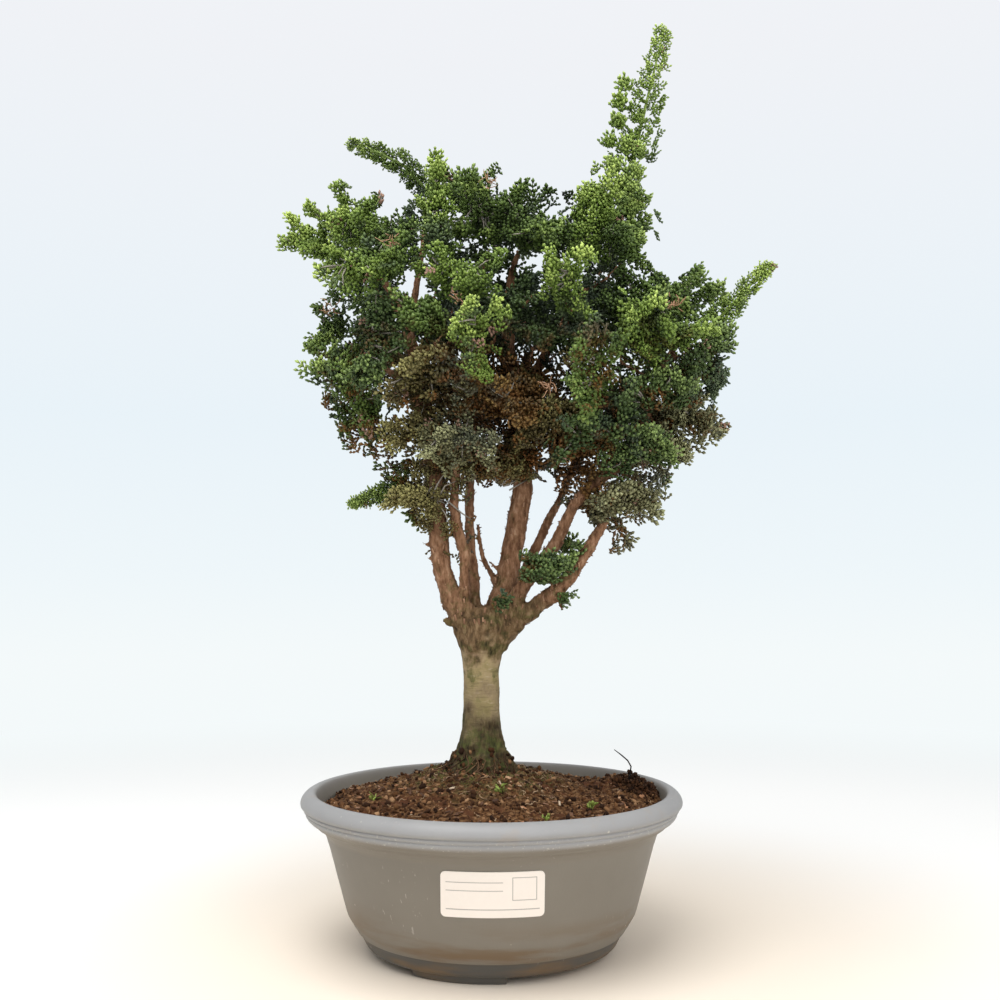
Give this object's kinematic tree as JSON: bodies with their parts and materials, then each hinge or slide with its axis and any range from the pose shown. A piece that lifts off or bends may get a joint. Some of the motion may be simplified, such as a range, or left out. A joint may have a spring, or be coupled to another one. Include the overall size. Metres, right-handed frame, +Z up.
{
  "type": "potted bonsai tree",
  "caption": "Young cypress bonsai with a short trunk, spreading limbs and dense shell-like evergreen sprays, in a round plastic bowl.",
  "frame": {"origin": "centre of the bounding box's bottom, level with the underside of the pot's feet", "axes": "+Z up, -Y towards the side with the label, +X towards the tall shoot's side"},
  "size_m": [0.2882, 0.21, 0.5243],
  "materials": {
    "pot_plastic": "satin",
    "label_paper": "satin",
    "peat": "matt crumbs",
    "bark": "matt",
    "leaf_tip": "matt",
    "leaf_green": "matt",
    "leaf_deep": "matt",
    "leaf_blue": "matt",
    "leaf_grey": "matt",
    "leaf_olive": "matt",
    "leaf_rust": "matt"
  },
  "bodies": {
    "root": {"pot": "pot_plastic", "label": "label_paper", "soil": "peat", "tree": "bark", "spray_left_crown": "leaf_tip", "spray_left_crown_right": "leaf_green", "spray_left_tip": "leaf_tip", "spray_left_front": "leaf_tip", "spray_left_back": "leaf_deep", "spray_spire_left": "leaf_tip", "spray_shoot_long": "leaf_green", "spray_dome_left": "leaf_green", "spray_dome_top": "leaf_green", "spray_dome_right": "leaf_green", "spray_dome_back": "leaf_deep", "spray_shoot_yellow": "leaf_tip", "spray_crown_notch": "leaf_green", "spray_spire_lower": "leaf_green", "spray_spire_top": "leaf_tip", "spray_spire_right": "leaf_green", "spray_spire_back": "leaf_deep", "spray_fan_bright": "leaf_tip", "spray_tuft_front": "leaf_tip", "spray_centre_inner": "leaf_deep", "spray_front_bright": "leaf_tip", "spray_front_left": "leaf_green", "spray_centre_back": "leaf_deep", "spray_centre_right": "leaf_deep", "spray_back_centre": "leaf_green", "spray_block_top": "leaf_green", "spray_block_back": "leaf_green", "spray_block_front": "leaf_tip", "spray_strip_right": "leaf_tip", "spray_back_right": "leaf_green", "spray_far_right": "leaf_tip", "spray_bunch_right": "leaf_deep", "spray_tips_right": "leaf_blue", "spray_front_right": "leaf_green", "spray_right_mid": "leaf_deep", "spray_right_low": "leaf_deep", "spray_back_right_low": "leaf_deep", "spray_fringe_top": "leaf_grey", "spray_fringe_mid": "leaf_grey", "spray_fringe_low": "leaf_grey", "spray_under_right": "leaf_deep", "spray_rust_right": "leaf_rust", "spray_inner_rust": "leaf_rust", "spray_back_low": "leaf_olive", "spray_main_low": "leaf_blue", "spray_low_left_top": "leaf_green", "spray_low_left_bunch": "leaf_green", "spray_low_left_front": "leaf_deep", "spray_low_left_back": "leaf_deep", "spray_left_hang": "leaf_olive", "spray_column_front": "leaf_grey", "spray_column_low": "leaf_olive", "spray_shoot_low_left": "leaf_green", "spray_centre_low": "leaf_olive", "spray_column_mid": "leaf_olive", "spray_low_tuft": "leaf_green"}
  },
  "joints": []
}
